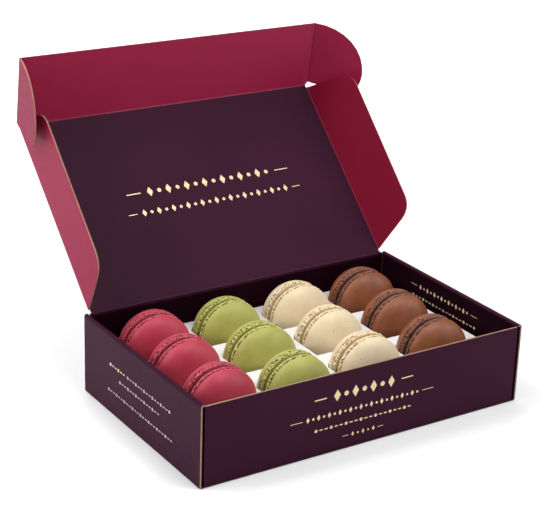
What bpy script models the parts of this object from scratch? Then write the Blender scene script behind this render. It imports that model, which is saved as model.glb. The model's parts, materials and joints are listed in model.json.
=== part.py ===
# Open folding carton with a pocketed insert and twelve macarons.
# Origin: middle of the carton's underside. Front wall towards -Y, +Z up, metres.

import math
import random

import bmesh
import bpy
from mathutils import Matrix, Vector

# Carton
TRAY_WIDTH = 0.220
TRAY_DEPTH = 0.136
TRAY_HEIGHT = 0.050
BOARD = 0.0012
SIDE_WALL = 0.0030
WALL_LAYER = 0.0010
FRONT_RECESS = 0.0003
FRONT_HALF_WIDTH = 0.1073
FRONT_DROP = 0.0014
BACK_HALF_WIDTH = 0.1066
BACK_DROP = 0.0004
INNER_LAYER_LIFT = 0.0004
GAP = 0.0003

# Lid: panels are flat sheets that meet at creases
LID_LENGTH = 0.130
LID_OPEN_DEG = 136.6
FLAP_CREASE_X = 0.1054
FLAP_LEFT_DEG = 93.0
FLAP_RIGHT_DEG = 58.0
TUCK_LENGTH = 0.0445
TUCK_DEG = 55.2
EAR_CREASE_X = 0.1069
EAR_LEFT_DEG = 82.0
EAR_RIGHT_DEG = 38.0

# Flap and ear outlines: (along the crease, out from the crease, corner radius)
FLAP_CORNERS = (
    (0.0025, 0.0003, 0.0),
    (0.0155, 0.0318, 0.014),
    (0.1190, 0.0338, 0.011),
    (0.1280, 0.0003, 0.0),
)
EAR_WIDTH = 0.0360
EAR_FULL_WIDTH_AT = 0.012
EAR_ROOT = 0.0022
EAR_HEEL = (0.0014, 0.0040)
EAR_TOE = (0.0010, 0.0300)
TUCK_NOTCH = (0.0012, 0.0020)

# Insert: a thin formed sheet with twelve rounded pockets, in rows with straight front edges
INSERT_HALF_WIDTH = 0.1025
INSERT_FRONT_Y = -0.0590
INSERT_BACK_Y = 0.0657
INSERT_TOP = 0.0310
INSERT_SHEET = 0.0008
POCKET_RADIUS = 0.0222
POCKET_AXIS_Z = 0.0305
POCKET_FRONT_Y = (-0.0557, -0.0122, 0.0289)
POCKET_CLEARANCE = 0.0009
POCKET_SEGMENTS = 10
POCKET_BACK_ANGLES = (78, 56, 38, 17)

# Macarons: a shell's radius is that of a macaron 42 mm across
SHELL_RADIUS = 0.0210
SHELL_HEIGHT = 0.0146
FOOT_HEIGHT = 0.0032
FILLING_GAP = 0.0024
FILLING_RADIUS = 0.0193
AROUND = 24
DOME_ANGLES = (78, 60, 42, 23)
DOME_FULLNESS = 0.9
FOOT_RUFFLE = 0.0003
TILT_DEG = 1.5

# Where each one stands, front row first:
# (mm right, mm back, mm across, degrees turned, mm from its middle to the filling ahead of it)
STANDS = {
    "pink": ((-77.5, -32.0, 42.2, -2.0, 0.5), (-75.0, 11.0, 41.8, -3.0, 0.8), (-74.0, 48.5, 42.6, -4.0, 2.2)),
    "green": ((-31.5, -38.5, 42.0, -2.5, 0.6), (-27.5, 5.0, 42.4, -5.0, 1.6), (-24.5, 47.0, 41.8, -2.0, 1.5)),
    "cream": ((19.5, -35.5, 41.8, -2.5, 1.2), (23.5, 7.0, 41.0, -3.5, 0.6), (25.5, 46.0, 42.6, -2.5, 1.6)),
    "brown": ((68.5, -35.0, 42.2, -3.0, 2.2), (73.0, 7.0, 42.0, -3.0, 1.6), (75.5, 46.5, 42.4, -2.0, 2.0)),
}

COLOURS = {
    "plum_board": ((0.045, 0.014, 0.036), 0.55),
    "berry_board": ((0.200, 0.010, 0.036), 0.55),
    "white_sheet": ((0.80, 0.79, 0.78), 0.60),
    "pink_shell": ((0.47, 0.035, 0.070), 0.55),
    "pink_filling": ((0.30, 0.012, 0.030), 0.50),
    "green_shell": ((0.42, 0.45, 0.085), 0.55),
    "green_filling": ((0.28, 0.28, 0.040), 0.50),
    "cream_shell": ((0.78, 0.63, 0.40), 0.55),
    "cream_filling": ((0.62, 0.44, 0.20), 0.50),
    "brown_shell": ((0.33, 0.145, 0.075), 0.60),
    "brown_filling": ((0.060, 0.020, 0.010), 0.45),
}


def clear_scene():
    for thing in list(bpy.data.objects):
        bpy.data.objects.remove(thing, do_unlink=True)


def make_material(name):
    colour, roughness = COLOURS[name]
    material = bpy.data.materials.new(name)
    material.use_nodes = True
    shader = material.node_tree.nodes["Principled BSDF"]
    shader.inputs["Base Color"].default_value = (*colour, 1.0)
    shader.inputs["Roughness"].default_value = roughness
    return material


def add_object(name, bm, material, parent=None):
    bmesh.ops.recalc_face_normals(bm, faces=bm.faces)
    mesh = bpy.data.meshes.new(name)
    bm.to_mesh(mesh)
    bm.free()
    thing = bpy.data.objects.new(name, mesh)
    thing.data.materials.append(material)
    thing.parent = parent
    bpy.context.collection.objects.link(thing)
    return thing


def add_empty(name, location, rotation, parent=None):
    empty = bpy.data.objects.new(name, None)
    empty.empty_display_size = 0.01
    empty.location = location
    empty.rotation_euler = rotation
    empty.parent = parent
    bpy.context.collection.objects.link(empty)
    return empty


def add_tool(name, bm, material):
    # A helper shape for a Boolean, hidden from the finished model
    tool = add_object(name, bm, material)
    tool.hide_render = True
    tool.display_type = "WIRE"
    return tool


def combine(target, tool, operation):
    step = target.modifiers.new(tool.name, "BOOLEAN")
    step.operation = operation
    step.object = tool
    step.solver = "EXACT"


def block(bm, low, high):
    size = Vector(high) - Vector(low)
    middle = (Vector(high) + Vector(low)) / 2
    place = Matrix.Translation(middle) @ Matrix.Diagonal((*size, 1.0))
    bmesh.ops.create_cube(bm, size=1.0, matrix=place)


def sheet_from_outline(points, low, high):
    # Flat sheet between z = low and z = high with the given (x, y) outline
    bm = bmesh.new()
    corners = [bm.verts.new((x, y, low)) for x, y in points]
    face = bm.faces.new(corners)
    grown = bmesh.ops.extrude_face_region(bm, geom=[face])
    raised = [item for item in grown["geom"] if isinstance(item, bmesh.types.BMVert)]
    bmesh.ops.translate(bm, verts=raised, vec=(0.0, 0.0, high - low))
    return bm


def rounded_outline(corners, segments=5):
    # Each corner is (along, out, radius); a radius of 0 stays sharp
    outline = []
    count = len(corners)
    for index, (along, out, radius) in enumerate(corners):
        here = Vector((along, out))
        if radius == 0.0:
            outline.append(here)
            continue
        before = (Vector(corners[index - 1][:2]) - here).normalized()
        after = (Vector(corners[(index + 1) % count][:2]) - here).normalized()
        half = before.angle(after) / 2
        reach = radius / math.tan(half)
        middle = here + (before + after).normalized() * (radius / math.sin(half))
        start = here + before * reach - middle
        turn = (math.pi - 2 * half) / segments
        sense = 1.0 if start.to_3d().cross((after * reach).to_3d()).z > 0 else -1.0
        for step in range(segments + 1):
            spun = Matrix.Rotation(sense * turn * step, 2) @ start
            outline.append(middle + spun)
    return outline


def side_wall_outline(sense):
    # Rolled double wall seen along Y: the outer layer rises from the base, turns over
    # in a round top fold and hangs down inside as a second layer
    outer_x = TRAY_WIDTH / 2
    middle_x = outer_x - SIDE_WALL / 2
    top_radius = SIDE_WALL / 2
    slot_radius = SIDE_WALL / 2 - WALL_LAYER
    fold_z = TRAY_HEIGHT - top_radius
    inner_bottom = BOARD + INNER_LAYER_LIFT
    points = [(outer_x, fold_z)]
    for step in range(1, 7):
        angle = math.pi * step / 6
        points.append((middle_x + top_radius * math.cos(angle), fold_z + top_radius * math.sin(angle)))
    points.append((outer_x - SIDE_WALL, inner_bottom))
    points.append((outer_x - SIDE_WALL + WALL_LAYER, inner_bottom))
    for step in range(3, -1, -1):
        angle = math.pi * step / 3
        points.append((middle_x + slot_radius * math.cos(angle), fold_z + slot_radius * math.sin(angle)))
    points.append((outer_x - WALL_LAYER, BOARD))
    return [(sense * x, z) for x, z in points]


def make_tray(materials):
    # Base and both rolled side walls are one profile along Y; the end walls are joined on
    right = side_wall_outline(1)
    left = side_wall_outline(-1)[::-1]
    half = TRAY_WIDTH / 2
    profile = [(half, 0.0)] + right + left + [(-half, 0.0)]
    bm = bmesh.new()
    corners = [bm.verts.new((x, -TRAY_DEPTH / 2, z)) for x, z in profile]
    face = bm.faces.new(corners)
    grown = bmesh.ops.extrude_face_region(bm, geom=[face])
    moved = [item for item in grown["geom"] if isinstance(item, bmesh.types.BMVert)]
    bmesh.ops.translate(bm, verts=moved, vec=(0.0, TRAY_DEPTH, 0.0))
    tray = add_object("tray", bm, materials["plum_board"])
    # The inner layers stop behind the front wall, which laps over their ends
    lap = bmesh.new()
    lap_back = -TRAY_DEPTH / 2 + FRONT_RECESS + BOARD + GAP
    lap_top = TRAY_HEIGHT - WALL_LAYER - GAP / 2
    for side in (-1, 1):
        near, far = sorted((side * (half - SIDE_WALL - GAP), side * (half - WALL_LAYER)))
        block(lap, (near, -TRAY_DEPTH / 2 - GAP, BOARD + GAP), (far, lap_back, lap_top))
    combine(tray, add_tool("front_lap_shape", lap, materials["plum_board"]), "DIFFERENCE")
    front_y = -TRAY_DEPTH / 2 + FRONT_RECESS
    back_y = TRAY_DEPTH / 2
    front = bmesh.new()
    front_corner = (FRONT_HALF_WIDTH, front_y + BOARD, TRAY_HEIGHT - FRONT_DROP)
    block(front, (-FRONT_HALF_WIDTH, front_y, BOARD / 2), front_corner)
    combine(tray, add_tool("front_wall_shape", front, materials["plum_board"]), "UNION")
    back = bmesh.new()
    back_corner = (BACK_HALF_WIDTH, back_y, TRAY_HEIGHT - BACK_DROP)
    block(back, (-BACK_HALF_WIDTH, back_y - BOARD, BOARD / 2), back_corner)
    combine(tray, add_tool("back_wall_shape", back, materials["plum_board"]), "UNION")
    return tray


def stands():
    # Flavour, row counted from 0, place, size beside the plain shell's, turn and seam
    for flavour, places in STANDS.items():
        for row, (right, back, across, turned, seam) in enumerate(places):
            size = across / 2000 / SHELL_RADIUS
            yield flavour, row, right / 1000, back / 1000, size, math.radians(turned), seam / 1000


def dome_point(degrees, size):
    # Radius and distance from the macaron's middle, at an angle from the dome's pole
    angle = math.radians(degrees)
    crown = (SHELL_HEIGHT - FOOT_HEIGHT) * size
    away = FILLING_GAP * size / 2 + FOOT_HEIGHT + crown * math.cos(angle)
    return SHELL_RADIUS * size * math.sin(angle) ** DOME_FULLNESS, away


def pocket_shape(bm, row, x, y, size, grown, top):
    # Slot with a half-round floor: straight and open in front, closing round the back dome
    front = POCKET_FRONT_Y[row] - grown
    stations = [(POCKET_RADIUS + grown, front)]
    for degrees in POCKET_BACK_ANGLES:
        radius, away = dome_point(degrees, size)
        spare = POCKET_CLEARANCE + grown
        fullest = degrees == POCKET_BACK_ANGLES[0]
        stations.append((POCKET_RADIUS + grown if fullest else radius + spare, y + away + spare))
    loops = []
    for radius, station in stations:
        outline = [(x + radius, top), (x - radius, top)]
        for step in range(POCKET_SEGMENTS + 1):
            angle = math.pi * (1 + step / POCKET_SEGMENTS)
            outline.append((x + radius * math.cos(angle), POCKET_AXIS_Z + radius * math.sin(angle)))
        loops.append([bm.verts.new((px, station, pz)) for px, pz in outline])
    count = len(loops[0])
    for near, far in zip(loops, loops[1:]):
        for step in range(count):
            following = (step + 1) % count
            bm.faces.new((near[step], near[following], far[following], far[step]))
    bm.faces.new(loops[0])
    bm.faces.new(loops[-1][::-1])


def make_insert(materials):
    # A box-shaped sheet open below, with pocket walls added and pocket hollows cut out
    material = materials["white_sheet"]
    bottom = BOARD + GAP
    bm = bmesh.new()
    low = (-INSERT_HALF_WIDTH, INSERT_FRONT_Y, bottom)
    high = (INSERT_HALF_WIDTH, INSERT_BACK_Y, INSERT_TOP)
    block(bm, low, high)
    insert = add_object("insert", bm, material)
    under = bmesh.new()
    sheet = INSERT_SHEET
    block(under, (low[0] + sheet, low[1] + sheet, bottom - sheet),
          (high[0] - sheet, high[1] - sheet, INSERT_TOP - sheet))
    combine(insert, add_tool("insert_underside", under, material), "DIFFERENCE")
    walls = bmesh.new()
    hollows = bmesh.new()
    for _, row, x, y, size, _, _ in stands():
        pocket_shape(walls, row, x, y, size, sheet, INSERT_TOP - sheet / 2)
        pocket_shape(hollows, row, x, y, size, 0.0, INSERT_TOP + sheet)
    combine(insert, add_tool("pocket_walls", walls, material), "UNION")
    combine(insert, add_tool("pocket_hollows", hollows, material), "DIFFERENCE")
    return insert


def turned_body(rings, around, wobble):
    # Solid of revolution about Z: rings are (radius, height); first and last close the ends
    bm = bmesh.new()
    loops = []
    for index, (radius, height) in enumerate(rings):
        loop = []
        for step in range(around):
            angle = 2 * math.pi * step / around
            grown = radius + wobble[index][step]
            loop.append(bm.verts.new((grown * math.cos(angle), grown * math.sin(angle), height)))
        loops.append(loop)
    for lower, upper in zip(loops, loops[1:]):
        for step in range(around):
            following = (step + 1) % around
            bm.faces.new((lower[step], lower[following], upper[following], upper[step]))
    bm.faces.new(loops[0][::-1])
    return bm, loops[-1]


def make_shell(name, draw, size, seam, material, parent, facing):
    # One half: a craggy foot ring under a smooth, plump dome
    radius = SHELL_RADIUS * size
    crown = (SHELL_HEIGHT - FOOT_HEIGHT) * size - facing * seam
    rings = [(radius * 0.945, 0.0), (radius * 0.995, FOOT_HEIGHT * 0.45), (radius * 0.975, FOOT_HEIGHT)]
    for degrees in DOME_ANGLES:
        angle = math.radians(degrees)
        share = math.sin(angle) ** DOME_FULLNESS
        rings.append((radius * share, FOOT_HEIGHT + crown * math.cos(angle)))
    wobble = []
    for index in range(len(rings)):
        amount = FOOT_RUFFLE if index < 2 else 0.0
        wobble.append([draw.uniform(-amount, amount) for _ in range(AROUND)])
    bm, rim = turned_body(rings, AROUND, wobble)
    pole = bm.verts.new((0.0, 0.0, FOOT_HEIGHT + crown))
    for step in range(AROUND):
        bm.faces.new((rim[step], rim[(step + 1) % AROUND], pole))
    shell = add_object(name, bm, material, parent)
    shell.rotation_euler = (math.radians(90 * facing), 0.0, 0.0)
    shell.location = (0.0, -facing * FILLING_GAP * size / 2 - seam, 0.0)
    shell.data.shade_smooth()
    shell.data.set_sharp_from_angle(angle=math.radians(40))
    return shell


def make_filling(name, draw, size, seam, material, parent):
    half = (FILLING_GAP * size - 2 * GAP) / 2
    radius = FILLING_RADIUS * size
    rings = [(radius * 0.985, -half), (radius * 1.01, 0.0), (radius * 0.985, half)]
    wobble = [[draw.uniform(-FOOT_RUFFLE, FOOT_RUFFLE) for _ in range(AROUND)] for _ in rings]
    bm, rim = turned_body(rings, AROUND, wobble)
    bm.faces.new(rim)
    filling = add_object(name, bm, material, parent)
    filling.rotation_euler = (math.radians(90), 0.0, 0.0)
    filling.location = (0.0, -seam, 0.0)
    return filling


def make_macarons(materials):
    # Each one stands on edge in its pocket: back half, filling, front half
    draw = random.Random(12)
    pocket_floor = POCKET_AXIS_Z - POCKET_RADIUS
    for flavour, row, x, y, size, turned, seam in stands():
        lift = SHELL_RADIUS * size + FOOT_RUFFLE + GAP
        tilt = [math.radians(draw.uniform(-TILT_DEG, TILT_DEG)) for _ in range(2)]
        label = f"{flavour}_{row + 1}"
        holder = add_empty(f"{label}_axis", (x, y, pocket_floor + lift), (tilt[0], tilt[1], turned))
        skin = materials[f"{flavour}_shell"]
        cream = materials[f"{flavour}_filling"]
        make_shell(f"{label}_shell_front", draw, size, seam, skin, holder, 1)
        make_filling(f"{label}_filling", draw, size, seam, cream, holder)
        make_shell(f"{label}_shell_back", draw, size, seam, skin, holder, -1)


def make_lid(materials):
    # Rotating this empty about X by minus the opening angle lifts the lid
    hinge = add_empty("lid_hinge_axis", (0.0, TRAY_DEPTH / 2, TRAY_HEIGHT),
                      (math.radians(-LID_OPEN_DEG), 0.0, 0.0))
    half = FLAP_CREASE_X - GAP
    outline = [(-half, -GAP), (-half, -LID_LENGTH + GAP), (half, -LID_LENGTH + GAP), (half, -GAP)]
    add_object("lid_panel", sheet_from_outline(outline, 0.0, BOARD), materials["plum_board"], hinge)
    return hinge


def make_flap(side, degrees, hinge, material):
    # Hinged along the lid's side edge; side is -1 on the left and 1 on the right
    name = "flap_left" if side < 0 else "flap_right"
    crease = add_empty(f"{name}_axis", (side * FLAP_CREASE_X, 0.0, 0.0),
                       (0.0, side * math.radians(degrees), 0.0), hinge)
    outline = [(side * out, -along) for along, out in rounded_outline(FLAP_CORNERS)]
    return add_object(name, sheet_from_outline(outline, 0.0, BOARD), material, crease)


def make_tuck(hinge, material):
    crease = add_empty("tuck_axis", (0.0, -LID_LENGTH, 0.0), (math.radians(TUCK_DEG), 0.0, 0.0), hinge)
    half = EAR_CREASE_X - GAP
    notch_x, notch_y = TUCK_NOTCH
    right = [(half - notch_x, -GAP), (half, -notch_y), (half, -TUCK_LENGTH)]
    left = [(-x, y) for x, y in reversed(right)]
    add_object("tuck_panel", sheet_from_outline(right + left, 0.0, BOARD), material, crease)
    return crease


def ear_outline():
    # Quarter ellipse from the tuck panel's free corner to full width, then a round toe
    points = [(EAR_ROOT, GAP)]
    points.append(EAR_HEEL)
    points.append(EAR_TOE)
    toe_steps = 4
    for step in range(1, toe_steps + 1):
        angle = math.pi / 2 * step / toe_steps
        along = EAR_FULL_WIDTH_AT - (EAR_FULL_WIDTH_AT - EAR_TOE[0]) * math.cos(angle)
        out = EAR_TOE[1] + (EAR_WIDTH - EAR_TOE[1]) * math.sin(angle)
        points.append((along, out))
    sweep_steps = 8
    reach = TUCK_LENGTH - EAR_FULL_WIDTH_AT
    for step in range(1, sweep_steps + 1):
        angle = math.pi / 2 * step / sweep_steps
        points.append((EAR_FULL_WIDTH_AT + reach * math.sin(angle), max(EAR_WIDTH * math.cos(angle), GAP)))
    return points


def make_ear(side, degrees, tuck_crease, material):
    name = "ear_left" if side < 0 else "ear_right"
    crease = add_empty(f"{name}_axis", (side * EAR_CREASE_X, 0.0, 0.0),
                       (0.0, side * math.radians(degrees), 0.0), tuck_crease)
    outline = [(side * out, -along) for along, out in ear_outline()]
    return add_object(name, sheet_from_outline(outline, 0.0, BOARD), material, crease)


def main():
    clear_scene()
    materials = {name: make_material(name) for name in COLOURS}
    make_tray(materials)
    make_insert(materials)
    make_macarons(materials)
    berry = materials["berry_board"]
    hinge = make_lid(materials)
    make_flap(-1, FLAP_LEFT_DEG, hinge, berry)
    make_flap(1, FLAP_RIGHT_DEG, hinge, berry)
    tuck_crease = make_tuck(hinge, berry)
    make_ear(-1, EAR_LEFT_DEG, tuck_crease, berry)
    make_ear(1, EAR_RIGHT_DEG, tuck_crease, berry)


main()
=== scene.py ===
import json
import math
import random

import bmesh
import bpy
import numpy as np
from mathutils import Matrix, Vector
from mathutils.bvhtree import BVHTree

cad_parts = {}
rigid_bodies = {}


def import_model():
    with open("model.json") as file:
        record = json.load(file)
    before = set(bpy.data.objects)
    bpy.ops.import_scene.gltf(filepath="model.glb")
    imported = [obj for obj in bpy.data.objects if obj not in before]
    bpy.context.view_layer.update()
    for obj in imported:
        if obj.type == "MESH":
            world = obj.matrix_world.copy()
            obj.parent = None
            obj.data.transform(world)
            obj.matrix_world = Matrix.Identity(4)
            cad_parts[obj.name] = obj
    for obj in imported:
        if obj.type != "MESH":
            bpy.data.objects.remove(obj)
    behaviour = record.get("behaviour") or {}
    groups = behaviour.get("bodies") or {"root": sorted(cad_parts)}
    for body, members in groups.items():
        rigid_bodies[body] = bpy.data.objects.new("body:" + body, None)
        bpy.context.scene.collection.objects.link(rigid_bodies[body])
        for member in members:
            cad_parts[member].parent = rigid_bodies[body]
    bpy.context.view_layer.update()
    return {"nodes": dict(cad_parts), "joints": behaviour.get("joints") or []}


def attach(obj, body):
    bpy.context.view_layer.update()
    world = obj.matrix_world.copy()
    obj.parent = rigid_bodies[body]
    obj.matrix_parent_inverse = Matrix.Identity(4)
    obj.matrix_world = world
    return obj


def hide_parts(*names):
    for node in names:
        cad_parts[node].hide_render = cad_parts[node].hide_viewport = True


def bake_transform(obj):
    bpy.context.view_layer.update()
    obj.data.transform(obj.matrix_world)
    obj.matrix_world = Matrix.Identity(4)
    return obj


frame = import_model()


# Tray
# One folded blank of 1.2 mm board, printed plum on both faces. The side walls
# are rolled double over a round top edge, and the cut edges show raw brown board.

PLUM = (0.031, 0.0038, 0.0168)
PLUM_WORN = (0.041, 0.0066, 0.0235)
PLUM_OUTSIDE = (0.032, 0.0040, 0.0170)
PLUM_OUTSIDE_WORN = (0.040, 0.0065, 0.0220)
# The near-black plum on the well's walls and in the front corner slots is painted shade.
PLUM_PAINTED_SHADE = (0.008, 0.0006, 0.0035)
PLUM_PAINTED_SHADE_WORN = (0.012, 0.0012, 0.0055)
RAW_BOARD = (0.35, 0.225, 0.165)
RAW_BOARD_DARK = (0.23, 0.130, 0.085)
BROWN_CUT = (0.42, 0.225, 0.165)
BROWN_CUT_DARK = (0.26, 0.12, 0.085)
# Darker brown cut board: painted shade on the back corner line, and also used on the tuck panel's cut
# edges.
DARK_CUT = (0.20, 0.070, 0.055)
BOARD = 0.0012
CUT_EASE = 0.00012
FOLD_EASE = 0.0007
JOIN_DISTANCE = 1e-5
FLAT_ANGLE = math.radians(1.5)
CORNER_ANGLE = math.radians(32)
HALF_WIDTH = 0.110
HALF_DEPTH = 0.068
CLOSE_TO = 0.0002
BASE_CUT_Z = 0.0004
WALL_INNER_X = 0.107
INNER_LAYER_X = 0.1060
FRONT_INNER_Y = -0.066
FRONT_TOP_Z = 0.048
FRONT_EDGE_Z = 0.0487
ROLL_END_Z = 0.0481
BACK_INNER_Y = 0.0665
BACK_END_X = (0.1062, 0.1068)
WELL_Y = (-0.0668, 0.0670)
WELL_Z = (0.0010, 0.0486)
SLOT_EDGE_X = 0.10905
SLOT_X = (0.1075, 0.1092)
SLOT_Y = (-0.0679, -0.0655)
CORNER_LINE_PLACE = (0.10675, 0.0666, 0.0258)
CORNER_LINE_SIZE = (0.0003, 0.0004, 0.0472)


def deselect_all():
    bpy.ops.object.select_all(action="DESELECT")


def make_active(piece):
    deselect_all()
    piece.select_set(True)
    bpy.context.view_layer.objects.active = piece


def dress(node, name):
    """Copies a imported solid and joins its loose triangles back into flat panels."""
    piece = bpy.data.objects.new(name, frame["nodes"][node].data.copy())
    bpy.context.collection.objects.link(piece)
    piece.data.materials.clear()
    make_active(piece)
    bpy.ops.mesh.customdata_custom_splitnormals_clear()
    bpy.ops.object.mode_set(mode="EDIT")
    bpy.ops.mesh.select_all(action="SELECT")
    bpy.ops.mesh.remove_doubles(threshold=JOIN_DISTANCE)
    bpy.ops.mesh.dissolve_limited(angle_limit=FLAT_ANGLE)
    bpy.ops.mesh.normals_make_consistent(inside=False)
    bpy.ops.object.mode_set(mode="OBJECT")
    return piece


def ease_edges(piece, width, segments, wanted):
    """Rounds the corners whose middle point and direction are wanted."""
    make_active(piece)
    bpy.ops.object.mode_set(mode="EDIT")
    bpy.ops.mesh.select_mode(type="EDGE")
    bpy.ops.mesh.select_all(action="DESELECT")
    sheet = bmesh.from_edit_mesh(piece.data)
    for edge in sheet.edges:
        sharp = len(edge.link_faces) == 2 and edge.calc_face_angle() > CORNER_ANGLE
        middle = (edge.verts[0].co + edge.verts[1].co) / 2
        along = (edge.verts[1].co - edge.verts[0].co).normalized()
        if sharp and wanted(middle, along):
            edge.select_set(True)
    bmesh.update_edit_mesh(piece.data)
    bpy.ops.mesh.bevel(offset=width, segments=segments, affect="EDGES", clamp_overlap=True)
    bpy.ops.object.mode_set(mode="OBJECT")


def smooth_flats(piece):
    """Smooths the eased corners and keeps the large faces flat."""
    make_active(piece)
    bpy.ops.object.shade_smooth_by_angle(angle=CORNER_ANGLE)
    flats = piece.modifiers.new("flats", "WEIGHTED_NORMAL")
    flats.keep_sharp = True
    bpy.ops.object.modifier_apply(modifier=flats.name)


def mark_faces(piece, wanted, index):
    """Gives the faces whose centre and normal are wanted another of the piece's materials."""
    for face in piece.data.polygons:
        if wanted(face.center, face.normal):
            face.material_index = index


def place_node(tree, kind, column, row):
    node = tree.nodes.new(kind)
    node.location = (column * 190, -row * 170)
    return node


def new_group(name, inputs, outputs):
    """Empty node group with named sockets: (name, kind, value) in and (name, kind) out."""
    group = bpy.data.node_groups.new(name, "ShaderNodeTree")
    for label, kind, value in inputs:
        socket = group.interface.new_socket(name=label, in_out="INPUT", socket_type=kind)
        socket.default_value = value
    for label, kind in outputs:
        group.interface.new_socket(name=label, in_out="OUTPUT", socket_type=kind)
    start = place_node(group, "NodeGroupInput", 0, 0)
    end = place_node(group, "NodeGroupOutput", 8, 0)
    return group, start, end


def add_noise(tree, coordinates, scale, detail, column, row, stretch=None):
    """Noise of the given scale per metre, with its coordinates stretched if asked."""
    source = coordinates
    if stretch:
        mapping = place_node(tree, "ShaderNodeMapping", column - 1, row)
        mapping.inputs["Scale"].default_value = stretch
        tree.links.new(coordinates, mapping.inputs["Vector"])
        source = mapping.outputs["Vector"]
    noise = place_node(tree, "ShaderNodeTexNoise", column, row)
    noise.inputs["Scale"].default_value = scale
    noise.inputs["Detail"].default_value = detail
    tree.links.new(source, noise.inputs["Vector"])
    return noise.outputs["Fac"]


def remap(tree, value, low, high, to_low, to_high, column, row):
    node = place_node(tree, "ShaderNodeMapRange", column, row)
    node.inputs["From Min"].default_value = low
    node.inputs["From Max"].default_value = high
    node.inputs["To Min"].default_value = to_low
    node.inputs["To Max"].default_value = to_high
    tree.links.new(value, node.inputs["Value"])
    return node.outputs["Result"]


def mix_colours(tree, factor, first, second, column, row):
    """Mixes two colours; each is a socket or a plain colour."""
    node = place_node(tree, "ShaderNodeMix", column, row)
    node.data_type = "RGBA"
    tree.links.new(factor, node.inputs["Factor"])
    for socket, colour in ((node.inputs[6], first), (node.inputs[7], second)):
        if isinstance(colour, bpy.types.NodeSocket):
            tree.links.new(colour, socket)
        else:
            socket.default_value = (*colour, 1.0)
    return node.outputs[2]


def combine_values(tree, kind, first, second, column, row):
    node = place_node(tree, "ShaderNodeMath", column, row)
    node.operation = kind
    for socket, value in zip(node.inputs, (first, second)):
        if isinstance(value, bpy.types.NodeSocket):
            tree.links.new(value, socket)
        else:
            socket.default_value = value
    return node.outputs["Value"]


def make_paper_group():
    """Board under ink: broad patches of tone, small mottling and a felt of short fibres."""
    group, start, end = new_group(
        "paper_grain",
        [("Ink", "NodeSocketColor", (1, 1, 1, 1)), ("Thin ink", "NodeSocketColor", (1, 1, 1, 1)),
         ("Roughness", "NodeSocketFloat", 0.5), ("Fibre share", "NodeSocketFloat", 0.2)],
        [("Colour", "NodeSocketColor"), ("Roughness", "NodeSocketFloat"), ("Height", "NodeSocketFloat")])
    place = place_node(group, "ShaderNodeTexCoord", 0, 2).outputs["Object"]
    broad = add_noise(group, place, 11.0, 2.0, 2, 1)
    mottle = add_noise(group, place, 420.0, 4.0, 2, 2)
    fibre_x = add_noise(group, place, 1500.0, 3.0, 3, 3, (0.25, 1.0, 1.0))
    fibre_z = add_noise(group, place, 1500.0, 3.0, 3, 4, (1.0, 0.3, 0.25))
    fibres = combine_values(group, "MAXIMUM", fibre_x, fibre_z, 4, 3)
    patches = remap(group, broad, 0.35, 0.65, 0.0, 0.45, 3, 1)
    grains = remap(group, mottle, 0.40, 0.75, 0.0, 0.30, 3, 2)
    streaks = remap(group, fibres, 0.50, 0.80, 0.0, 1.0, 5, 3)
    share = combine_values(group, "MULTIPLY", streaks, start.outputs["Fibre share"], 6, 3)
    tone = combine_values(group, "ADD", patches, grains, 4, 1)
    factor = combine_values(group, "ADD", tone, share, 6, 1)
    colour = mix_colours(group, factor, start.outputs["Ink"], start.outputs["Thin ink"], 7, 1)
    shine = remap(group, mottle, 0.3, 0.7, -0.05, 0.06, 5, 5)
    rough = combine_values(group, "ADD", shine, start.outputs["Roughness"], 6, 5)
    group.links.new(colour, end.inputs["Colour"])
    group.links.new(rough, end.inputs["Roughness"])
    group.links.new(fibres, end.inputs["Height"])
    return group


def new_material(name, colour):
    material = bpy.data.materials.new(name)
    material.use_nodes = True
    material.diffuse_color = (*colour, 1.0)
    tree = material.node_tree
    return material, tree, tree.nodes["Principled BSDF"]


def add_bump(tree, shader, height, strength, distance):
    bump = place_node(tree, "ShaderNodeBump", -1, 3)
    bump.inputs["Strength"].default_value = strength
    bump.inputs["Distance"].default_value = distance
    tree.links.new(height, bump.inputs["Height"])
    tree.links.new(bump.outputs["Normal"], shader.inputs["Normal"])


paper_grain = make_paper_group()


def make_board_material(name, ink, thin_ink, roughness, fibre_share, bump, shine):
    material, tree, shader = new_material(name, ink)
    grain = place_node(tree, "ShaderNodeGroup", -2, 1)
    grain.node_tree = paper_grain
    grain.inputs["Ink"].default_value = (*ink, 1.0)
    grain.inputs["Thin ink"].default_value = (*thin_ink, 1.0)
    grain.inputs["Roughness"].default_value = roughness
    grain.inputs["Fibre share"].default_value = fibre_share
    tree.links.new(grain.outputs["Colour"], shader.inputs["Base Color"])
    tree.links.new(grain.outputs["Roughness"], shader.inputs["Roughness"])
    add_bump(tree, shader, grain.outputs["Height"], bump, 0.00004)
    shader.inputs["Specular IOR Level"].default_value = shine
    return material


plum_print = make_board_material("plum_print", PLUM, PLUM_WORN, 0.55, 0.12, 0.25, 0.08)
plum_outside = make_board_material("plum_outside", PLUM_OUTSIDE, PLUM_OUTSIDE_WORN, 0.50, 0.12, 0.25, 0.06)
plum_painted_shade = make_board_material("plum_painted_shade", PLUM_PAINTED_SHADE, PLUM_PAINTED_SHADE_WORN, 0.60, 0.12, 0.25, 0.03)
raw_board = make_board_material("raw_board", RAW_BOARD, RAW_BOARD_DARK, 0.85, 0.60, 0.8, 0.1)
brown_cut = make_board_material("brown_cut", BROWN_CUT, BROWN_CUT_DARK, 0.85, 0.60, 0.8, 0.1)
dark_cut = make_board_material("dark_cut", DARK_CUT, PLUM_WORN, 0.70, 0.5, 0.5, 0.05)

tray = dress("tray", "tray_board")
tray.data.materials.append(plum_outside)
tray.data.materials.append(raw_board)
tray.data.materials.append(plum_painted_shade)


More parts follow.
